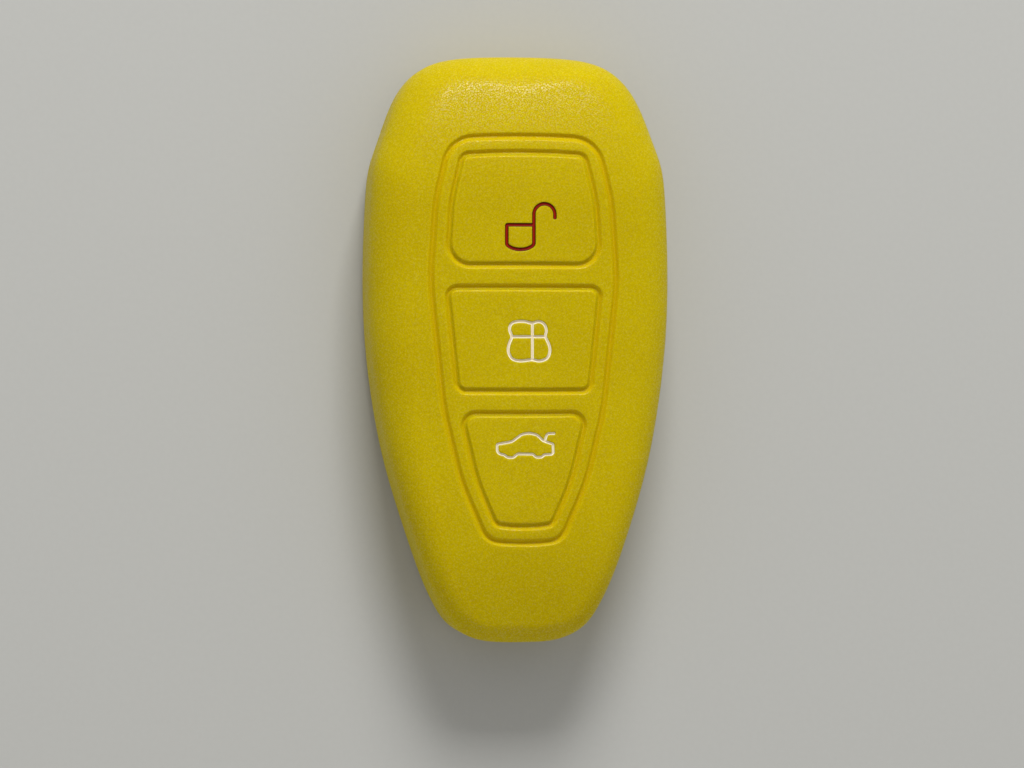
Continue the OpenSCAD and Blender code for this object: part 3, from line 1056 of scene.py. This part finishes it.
@dataclass(frozen=True)
class OpenBoot(Symbol):
    """A car seen from its side with its boot lid up."""

    line: float = 0.36
    place: tuple[float, float] = (0.1, 3.25)
    width: float = 7.9
    height: float = 3.36

    def strokes(self, middle: np.ndarray) -> list[Stroke]:
        """Draws the car as a closed line with rounded bends, and the lid as an open one.

        Args:
            middle: the middle of the pad.

        Returns:
            The strokes.
        """
        car = np.array([
            (-0.98, 0.1, 0.05), (-0.45, 0.32, 0.3), (-0.12, 0.9, 0.25), (0.15, 1.02, 0.3),
            (0.42, 0.87, 0.25), (0.64, 0.38, 0.25), (0.99, 0.1, 0.05), (1, -0.74, 0.08),
            (0.7, -0.76, 0.06), (0.59, -0.98, 0.12), (0.4, -0.98, 0.12), (0.27, -0.72, 0.08),
            (-0.26, -0.7, 0.08), (-0.41, -1, 0.12), (-0.61, -1, 0.12), (-0.74, -0.77, 0.08),
            (-0.98, -0.66, 0.17),
        ])  # fmt: skip
        lid = np.array([(0.7, 0.33, 0), (0.78, 0.96, 0.12), (1.03, 0.98, 0)])
        scale = np.array((self.width / 2, self.height / 2, self.width / 2))
        at = np.array((*(middle + self.place), 0))
        body = rounded(car * scale + at, steps=6)
        hinge = rounded(lid * scale + at, closed=False, steps=6)
        return [self.closed(body, self.line), self.open(hinge, self.line)]


@dataclass(frozen=True)
class InkLine:
    """The sunk line of a symbol and the coat of ink that lines it, by distance from its edge."""

    depth: float = 0.3
    foot: float = -0.1
    lip: float = 0.03
    lip_depth: float = 0.05
    slope_depth: float = 0.014
    shoulder: float = 0.1
    coat: float = 0.05
    back: float = 0.08
    rim: float = -0.012
    rim_depth: float = 0.118

    def reaches(self) -> tuple[float, ...]:
        """Gives the distances where the moulded line bends: floor, lip, slope and shoulder."""
        return self.foot, self.lip, (self.lip + self.shoulder) / 2, self.shoulder

    def silicone(self, away: np.ndarray) -> np.ndarray:
        """Gives the depth of the moulded line: a floor, a steep wall and a soft lip."""
        depths = (self.depth, self.lip_depth, self.slope_depth, 0.0)
        return np.interp(away, self.reaches(), depths)

    def ink(self, away: np.ndarray) -> np.ndarray:
        """Gives the depth of the ink's face: it lies on the floor and climbs the walls."""
        return np.interp(away, (self.foot, self.rim), (self.depth - self.coat, self.rim_depth))

    def core(self, away: np.ndarray) -> np.ndarray:
        """Gives how far from the ink's rim each point lies, from 0 at the rim to 1 in its core."""
        return np.clip((self.rim - away) / (self.rim - self.foot), 0, 1)


@dataclass
class Button:
    """One button pad with its symbol."""

    body: Body
    panel: Panel
    index: int
    name: str
    symbol: Symbol
    ink_line: InkLine = InkLine()
    columns: int = 300
    spacing: float = 0.55
    fine: float = 0.16
    under_share: float = 1.8
    foot_round: float = 0.25
    foot_steps: int = 7
    wall_steps: int = 8
    slope_steps: int = 9
    ink_frame: float = 1.0
    ink_spacing: float = 2.0

    def strokes(self) -> list[Stroke]:
        """Draws the pad's symbol in its place."""
        middle = np.array((0.0, sum(self.panel.pad_ends(self.index)) / 2))
        return self.symbol.strokes(middle)

    def outlines(self, *reaches: float) -> list[np.ndarray]:
        """Outlines every stroke at each reach from its edge."""
        return [loop for s in self.strokes() for reach in reaches for loop in s.outline(reach)]

    def away(self, points: np.ndarray) -> np.ndarray:
        """Gives each point's distance from the edge of the nearest stroke."""
        return np.min([stroke.distance(points) for stroke in self.strokes()], 0)

    def section(self) -> np.ndarray:
        """Draws the pad's side: rounded foot, upright wall, and the soft slope of the groove.

        Returns:
            Rows of distance from the groove's middle and depth below the front.
        """
        groove, thickness = self.panel.groove, self.panel.pad_thickness
        wall, turn = -groove.width / 2, np.linspace(0, math.pi / 2, self.foot_steps)
        inwards, up = self.foot_round * (1 - np.sin(turn)), self.foot_round * (1 - np.cos(turn))
        foot = np.stack([wall - inwards, thickness - up], 1)
        slope = groove.section(wall, -groove.reach, self.slope_steps)
        middle = np.linspace(foot[-1, 1], slope[0, 1], self.wall_steps)[1:-1, None]
        return np.vstack([foot, np.hstack([np.full_like(middle, wall), middle]), slope])

    def build_pad(self) -> bpy.types.Object:
        """Builds the pad: its side, its flat underside, and a top with the sunk lines.

        Returns:
            The pad's object.
        """
        thickness, surface, section = self.panel.pad_thickness, Surface(), self.section()
        loop = resampled(self.panel.pad_loop(self.index), self.columns)
        rings = self.body.carried(loop, section)
        above_foot = np.nextafter(thickness - self.foot_round, 0)
        surface.add_rings(rings, self.panel.groove.shares(section, above_foot))
        lines = self.outlines(*self.ink_line.reaches())
        flat, triangles = filled(rings[-1, :, :2], [], lines, self.spacing, self.fine)
        surface.add(self.body.on_front(flat, self.ink_line.silicone(self.away(flat))), triangles)
        flat, triangles = filled(rings[0, :, :2], [], [], self.spacing * self.under_share)
        surface.add(self.body.on_front(flat, thickness), triangles[:, ::-1])
        return surface.piece(f"{self.name}_button")

    def build_ink(self) -> bpy.types.Object:
        """Builds the ink as a thin lining of the sunk lines, with its back in the silicone.

        The triangles between the strokes' rims make the face, a copy of them below makes the back,
        and the sides that only one triangle uses carry the edge between the two.

        Returns:
            The ink's object.
        """
        line = self.ink_line
        edges = self.outlines(line.rim)
        inner = self.outlines((line.rim + line.foot) / 2, line.foot)
        low = np.min([e.min(0) for e in edges], 0) - self.ink_frame
        high = np.max([e.max(0) for e in edges], 0) + self.ink_frame
        frame = np.array([low, (low[0], high[1]), high, (high[0], low[1])])
        flat, triangles = filled(frame, [], [*edges, *inner], self.ink_spacing)
        inked = self.away(flat[triangles].mean(1)) < line.rim - ON_RIM
        used, inverse = np.unique(triangles[inked], return_inverse=True)
        flat, triangles = flat[used], inverse.reshape(-1, 3)
        away = self.away(flat)
        depth = line.ink(away)
        layers = [self.body.on_front(flat, depth), self.body.on_front(flat, depth + line.back)]
        sides = np.vstack([triangles[:, [k, (k + 1) % 3]] for k in range(3)])
        same = np.sort(sides, 1)
        _, first, uses = np.unique(same, axis=0, return_index=True, return_counts=True)
        rim, count = sides[first[uses == 1]], len(flat)
        faces = np.vstack([triangles, triangles[:, ::-1] + count])
        surface = Surface()
        for patch in (faces, np.hstack([rim[:, ::-1], rim + count])):
            surface.add(np.vstack(layers), patch, np.tile(line.core(away), 2))
        return surface.piece(f"{self.name}_ink_line")


# Finishes


class Shade:
    """A socket of a material, so that shader maths reads as arithmetic."""

    def __init__(self, graph: "Graph", socket: bpy.types.NodeSocket | None) -> None:
        """Keeps the graph and the socket."""
        self.graph = graph
        self.socket = socket

    def _math(self, operation: str, first: "Shade | float", second: "Shade | float") -> "Shade":
        """Adds a Math node on two values."""
        return self.graph.node("ShaderNodeMath", {"operation": operation}, {0: first, 1: second})

    def __add__(self, other: "Shade | float") -> "Shade":
        """Adds."""
        return self._math("ADD", self, other)

    __radd__ = __add__

    def __mul__(self, other: "Shade | float") -> "Shade":
        """Multiplies."""
        return self._math("MULTIPLY", self, other)

    __rmul__ = __mul__

    def __sub__(self, other: "Shade | float") -> "Shade":
        """Subtracts."""
        return self._math("SUBTRACT", self, other)

    def __rsub__(self, other: float) -> "Shade":
        """Subtracts from a number."""
        return self._math("SUBTRACT", other, self)

    def __gt__(self, limit: float) -> "Shade":
        """Gives 1 above the limit and 0 below it."""
        return self._math("GREATER_THAN", self, limit)

    def spread(
        self, low: float, high: float, to_low: float = 0.0, to_high: float = 1.0
    ) -> "Shade":
        """Maps a range smoothly to another one, and holds what lies beyond it.

        Args:
            low: where the range starts.
            high: where it ends.
            to_low: what its start becomes.
            to_high: what its end becomes.

        Returns:
            The mapped value.
        """
        ends = {"From Min": low, "From Max": high, "To Min": to_low, "To Max": to_high}
        smooth = {"interpolation_type": "SMOOTHSTEP"}
        return self.graph.node("ShaderNodeMapRange", smooth, {"Value": self, **ends})

    def up_to(self, most: float) -> "Shade":
        """Maps a noise's usual range, 0.3 to 0.7, from nothing to a share."""
        return self.spread(0.3, 0.7, 0.0, most)


class Graph:
    """The node tree of one new material or world."""

    def __init__(self, owner: bpy.types.Material | bpy.types.World) -> None:
        """Empties the owner's tree.

        Args:
            owner: the material or world.
        """
        self.owner = owner
        self.owner.use_nodes = True
        self.tree = self.owner.node_tree
        self.tree.nodes.clear()

    def node(
        self,
        kind: str,
        settings: dict[str, object] | None = None,
        inputs: dict[str | int, object] | None = None,
        output: str | int = 0,
    ) -> Shade:
        """Adds a node.

        Args:
            kind: the node's type.
            settings: its properties, which are set first.
            inputs: values or links of its sockets, by name or number.
            output: which of its outputs to hand back.

        Returns:
            That output.
        """
        made = self.tree.nodes.new(kind)
        for key, value in (settings or {}).items():
            setattr(made, key, value)
        for key, value in (inputs or {}).items():
            if isinstance(value, Shade):
                self.tree.links.new(value.socket, made.inputs[key])
            else:
                made.inputs[key].default_value = value
        return Shade(self, made.outputs[output] if made.outputs else None)

    def place(self) -> Shade:
        """Gives the object's own coordinates."""
        return self.node("ShaderNodeTexCoord", output="Object")

    def depth(self) -> Shade:
        """Gives how deep in a groove or in the ink the surface lies."""
        name = {"attribute_name": DEPTH_ATTRIBUTE}
        return self.node("ShaderNodeAttribute", name, output="Fac")

    def noise(self, size: float, detail: float = 2.0, roughness: float = 0.5) -> Shade:
        """Gives a noise whose lumps are about as large as the size, in millimetres."""
        inputs = {"Vector": self.place(), "Scale": 1 / (size * MM), "Detail": detail}
        return self.node("ShaderNodeTexNoise", None, {**inputs, "Roughness": roughness})

    def mixed(self, share: Shade | float, first: object, second: object) -> Shade:
        """Mixes two colours by a share."""
        inputs = {0: share, 6: first, 7: second}
        return self.node("ShaderNodeMix", {"data_type": "RGBA"}, inputs, 2)

    def bump(
        self, height: Shade, distance: float, strength: float, below: Shade | None = None
    ) -> Shade:
        """Tilts the surface by a height.

        Args:
            height: the height as a share of the distance.
            distance: the distance in millimetres.
            strength: how much of the tilt is taken.
            below: the surface that it starts from, if not the plain one.

        Returns:
            The tilted normal.
        """
        inputs = {"Height": height, "Distance": distance * MM, "Strength": strength}
        if below is not None:
            inputs["Normal"] = below
        return self.node("ShaderNodeBump", None, inputs)

    def finish(self, inputs: dict[str | int, object]) -> bpy.types.Material:
        """Ends the tree in a Principled shader.

        Args:
            inputs: values or links of the shader's sockets.

        Returns:
            The material.
        """
        shader = self.node("ShaderNodeBsdfPrincipled", None, inputs)
        self.node("ShaderNodeOutputMaterial", None, {"Surface": shader})
        return self.owner


def linear(red: int, green: int, blue: int) -> tuple[float, float, float, float]:
    """Turns a display colour of 0 to 255 into linear light."""
    shares = [c / 255 for c in (red, green, blue)]
    return (*[s / 12.92 if s <= 0.04045 else ((s + 0.055) / 1.055) ** 2.4 for s in shares], 1.0)


@dataclass(frozen=True)
class SiliconeFinish:
    """Matte moulded silicone: a dry grain that glitters where light grazes it, some lint, and a
    warmer yellow in the grooves that is painted shade.
    """

    colour: Colour = (203, 182, 1)
    shaded: Colour = (187, 163, 0)
    # A warmer, deeper yellow that paints the shade in the grooves
    painted_groove_shade: Colour = (206, 176, 0)
    lint: Colour = (112, 92, 20)
    roughness: float = 0.42
    cloud_size: float = 14.0
    cloud_share: float = 0.25
    mottle_size: float = 1.3
    mottle_height: float = 0.03
    grain_size: float = 0.34
    grain_share: float = 0.7
    grain_height: float = 0.07
    grain_roughness: float = 0.16
    groove_roughness: float = 0.2
    glitter_size: float = 0.21
    glitter_span: tuple[float, float] = (0.46, 0.7)
    glitter_most: float = 0.8
    lint_gap: float = 3.6
    lint_above: float = 0.95
    lint_spread: tuple[float, float] = (0.015, 0.03)
    lint_share: float = 0.5

    def lint_specks(self, graph: Graph) -> Shade:
        """Gives 1 on the specks of lint: small dots in the middles of a few random cells.

        Args:
            graph: the material's nodes.

        Returns:
            The specks.
        """
        cells = {"Vector": graph.place(), "Scale": 1 / (self.lint_gap * MM)}
        near, pick = [
            graph.node("ShaderNodeTexVoronoi", None, cells, output)
            for output in ("Distance", "Color")
        ]
        chosen = graph.node("ShaderNodeSeparateColor", None, {"Color": pick}) > self.lint_above
        return chosen * near.spread(*self.lint_spread, 1.0, 0.0)

    def material(self) -> bpy.types.Material:
        """Builds the material.

        Returns:
            The material.
        """
        graph = Graph(bpy.data.materials.new("yellow_silicone"))
        clouds = graph.noise(self.cloud_size)
        mottle = graph.noise(self.mottle_size, detail=3.0, roughness=0.6)
        grain = graph.noise(self.grain_size, roughness=0.7)
        glitter = graph.noise(self.glitter_size, detail=1.0, roughness=0.6)
        groove, specks = graph.depth(), self.lint_specks(graph)
        shade = clouds.up_to(self.cloud_share) + grain.up_to(self.grain_share)
        colour = graph.mixed(shade, linear(*self.colour), linear(*self.shaded))
        # Painted shade: the surface turns to the warmer yellow by how deep in a groove it lies
        colour = graph.mixed(groove, colour, linear(*self.painted_groove_shade))
        coarse = graph.bump(mottle, self.mottle_height, strength=0.2)
        rough = grain * self.grain_roughness + groove * self.groove_roughness
        return graph.finish(
            {
                "Base Color": graph.mixed(specks * self.lint_share, colour, linear(*self.lint)),
                "Roughness": self.roughness + rough,
                "Normal": graph.bump(grain, self.grain_height, strength=0.8, below=coarse),
                "IOR": 1.42,
                "Specular IOR Level": 0.04,
                "Coat Weight": glitter.spread(*self.glitter_span, 0.0, self.glitter_most),
                "Coat Roughness": 0.34,
                "Subsurface Weight": 0.5,
                "Subsurface Radius": (1.0, 0.7, 0.1),
                "Subsurface Scale": 1.0 * MM,
            }
        )


@dataclass(frozen=True)
class InkFinish:
    """Ink wiped into a sunk line, a bit uneven. Its rim and its floor take two colours that are
    painted light and shade: the darker of the two is painted shade.
    """

    name: str
    # The rim's and the floor's colours; the darker of the two is painted shade
    rim: Colour
    floor: Colour
    roughness: float = 0.42
    patch_size: float = 0.5
    patch_share: float = 0.4
    patch_roughness: float = 0.2
    floor_span: tuple[float, float] = (0.5, 1.08)
    grain_size: float = 0.08
    grain_height: float = 0.01

    def material(self) -> bpy.types.Material:
        """Builds the material.

        Returns:
            The material.
        """
        graph = Graph(bpy.data.materials.new(self.name))
        patch = graph.noise(self.patch_size, detail=3.0, roughness=0.6)
        grain = graph.noise(self.grain_size, detail=1.0)
        # Painted light and shade: the colour runs from the rim's to the floor's towards the line's
        # core, in uneven patches
        depth = graph.depth() + patch * self.patch_share - self.patch_share / 2
        share = depth.spread(*self.floor_span)
        return graph.finish(
            {
                "Base Color": graph.mixed(share, linear(*self.rim), linear(*self.floor)),
                "Roughness": self.roughness + patch * self.patch_roughness,
                "Specular IOR Level": 0.12,
                "Normal": graph.bump(grain, self.grain_height, strength=0.4),
            }
        )


@dataclass(frozen=True)
class PaleRoom:
    """The plain pale backdrop: it lights at one strength and shows to the camera at another."""

    colour: tuple[float, float, float, float] = (1.0, 0.99, 0.97, 1.0)
    light: float = 0.45
    shown: float = 0.52

    def shader(self, graph: Graph, kind: str) -> Shade:
        """Adds an even glow.

        Args:
            graph: the nodes of the world or of a material.
            kind: the type of the node that glows.

        Returns:
            The glow.
        """
        seen = graph.node("ShaderNodeLightPath", output="Is Camera Ray")
        strength = seen * (self.shown - self.light) + self.light
        return graph.node(kind, None, {"Color": self.colour, "Strength": strength})


@dataclass(frozen=True)
class TableFinish:
    """A plain pale table top with a faint grain, which runs into the backdrop from near to far.

    The last two are distances from the cover in metres.
    """

    room: PaleRoom
    colour: Colour = (190, 190, 186)
    grain_colour: Colour = (170, 170, 165)
    grain_share: float = 0.06
    grain_size: float = 0.8
    grain_height: float = 0.02
    near: float = 0.1
    far: float = 0.3

    def material(self) -> bpy.types.Material:
        """Builds the material; its share of backdrop grows with the distance from the cover.

        Returns:
            The material.
        """
        graph = Graph(bpy.data.materials.new("pale_table"))
        grain = graph.noise(self.grain_size, detail=3.0)
        share = grain.up_to(self.grain_share)
        inputs = {
            "Base Color": graph.mixed(share, linear(*self.colour), linear(*self.grain_colour)),
            "Roughness": 1.0,
            "Specular IOR Level": 0.0,
            "Normal": graph.bump(grain, self.grain_height, strength=0.3),
        }
        top = graph.node("ShaderNodeBsdfPrincipled", None, inputs)
        length = {"operation": "LENGTH"}
        away = graph.node("ShaderNodeVectorMath", length, {0: graph.place()}, "Value")
        glow = self.room.shader(graph, "ShaderNodeEmission")
        layers = {0: away.spread(self.near, self.far), 1: top, 2: glow}
        mixed = graph.node("ShaderNodeMixShader", None, layers)
        graph.node("ShaderNodeOutputMaterial", None, {"Surface": mixed})
        return graph.owner


# The studio


@dataclass(frozen=True)
class Lamp:
    """A soft square lamp that looks at the cover: its place and side in metres, power in watts."""

    name: str
    place: tuple[float, float, float]
    side: float
    power: float

    def add(self) -> None:
        """Hangs the lamp."""
        data = bpy.data.lights.new(self.name, "AREA")
        data.size, data.energy = self.side, self.power
        lamp = bpy.data.objects.new(self.name, data)
        lamp.location = self.place
        lamp.rotation_euler = (-Vector(self.place)).to_track_quat("-Z", "Y").to_euler()
        bpy.context.scene.collection.objects.link(lamp)


@dataclass(frozen=True)
class Studio:
    """The camera above the front, the pale table, and soft light, most of it from the wide end."""

    distance: float = 600.0
    yaw: float = -7.5
    target_height: float = 8.0
    pixels_per_mm: float = 7.12
    centre_pixel: tuple[float, float] = (515.4, 348.9)
    sensor: float = 36.0
    clip_start: float = 10.0
    table_side: float = 12_000.0
    room: PaleRoom = PaleRoom()
    lamps: tuple[Lamp, ...] = (
        Lamp("key_lamp", (0.03, 0.76, 0.53), 0.34, 7.5),
        Lamp("fill_lamp", (0.1, -1.28, 0.24), 0.9, 1.8),
    )

    def add_camera(self) -> None:
        """Puts the camera where the photograph was taken from, with the wide end up."""
        x = math.sin(math.radians(self.yaw))
        away = Vector((x, 0, math.sqrt(1 - x * x)))
        right = Vector((0, 1, 0)).cross(away).normalized()
        data = bpy.data.cameras.new("camera")
        data.sensor_width = self.sensor
        data.lens = self.pixels_per_mm * self.distance / IMAGE_WIDTH * self.sensor
        data.shift_x = (IMAGE_WIDTH / 2 - self.centre_pixel[0]) / IMAGE_WIDTH
        data.shift_y = (self.centre_pixel[1] - IMAGE_HEIGHT / 2) / IMAGE_WIDTH
        data.clip_start = self.clip_start * MM
        camera = bpy.data.objects.new("camera", data)
        place = (Vector((0, 0, self.target_height)) + away * self.distance) * MM
        turn = Matrix((right, away.cross(right), away)).transposed().to_4x4()
        camera.matrix_world = Matrix.Translation(place) @ turn
        bpy.context.scene.collection.objects.link(camera)
        bpy.context.scene.camera = camera

    def add_table(self) -> None:
        """Lays the table at the height of the cover's back."""
        half = self.table_side * MM / 2
        mesh = bpy.data.meshes.new("table_top")
        corners = [(-half, -half, 0), (half, -half, 0), (half, half, 0), (-half, half, 0)]
        mesh.from_pydata(corners, [], [(0, 1, 2, 3)])
        table = bpy.data.objects.new("table_top", mesh)
        table.data.materials.append(TableFinish(self.room).material())
        bpy.context.scene.collection.objects.link(table)

    def build(self) -> None:
        """Sets up the table, the lamps, the world and the view."""
        self.add_table()
        for lamp in self.lamps:
            lamp.add()
        graph = Graph(bpy.data.worlds.new("room"))
        glow = self.room.shader(graph, "ShaderNodeBackground")
        graph.node("ShaderNodeOutputWorld", None, {"Surface": glow})
        bpy.context.scene.world = graph.owner
        bpy.context.scene.view_settings.view_transform = "Standard"


@dataclass(frozen=True)
class ButtonPlan:
    """Names one button's nodes and body, with its symbol, its ink and how the ink lies."""

    name: str
    symbol: Symbol
    ink: InkFinish
    line: InkLine = InkLine()


# The red's dark rim is painted shade on the walls of its line; the white's darker floor is painted
# shade in its line
RED_INK = InkFinish("red_ink", (60, 2, 0), (152, 24, 4))
WHITE_INK = InkFinish("white_ink", (255, 252, 230), (234, 214, 176))
BUTTONS = (
    ButtonPlan("unlock", OpenPadlock(), RED_INK, InkLine(rim=0.014, rim_depth=0.068)),
    ButtonPlan("lock", DoublePadlock(), WHITE_INK),
    ButtonPlan("boot", OpenBoot(), WHITE_INK),
)


def dress(
    made: bpy.types.Object, material: bpy.types.Material, slot: str, body: str, *nodes: str
) -> None:
    """Gives a piece its finish and ties it to its body.

    Args:
        made: the piece.
        material: its material.
        slot: the material slot's name; not used.
        body: the body that it rides on.
        *nodes: the nodes that it stands for.
    """
    made.data.materials.append(material)
    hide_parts(*nodes)
    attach(made, body)
    report(made)


def main() -> None:
    """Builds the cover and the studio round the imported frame."""
    logging.basicConfig(level=logging.INFO, format="%(message)s")
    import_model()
    studio = Studio()
    studio.add_camera()
    body, panel = Body(), Panel()
    silicone = SiliconeFinish().material()
    inks = {ink.name: ink.material() for ink in (RED_INK, WHITE_INK)}
    webs = [f"{plan.name}_web" for plan in BUTTONS]
    skin = Skin(body, panel, RingSlot()).build()
    dress(skin, silicone, "silicone", "cover", "cover_shell", *webs)
    for index, plan in enumerate(BUTTONS):
        name, ink = plan.name, plan.ink.name
        button = Button(body, panel, index, name, plan.symbol, plan.line)
        dress(button.build_pad(), silicone, "silicone", f"{name}_button", f"{name}_pad")
        dress(button.build_ink(), inks[ink], ink, f"{name}_button", f"{name}_ink")
    studio.build()


if __name__ == "__main__":
    main()
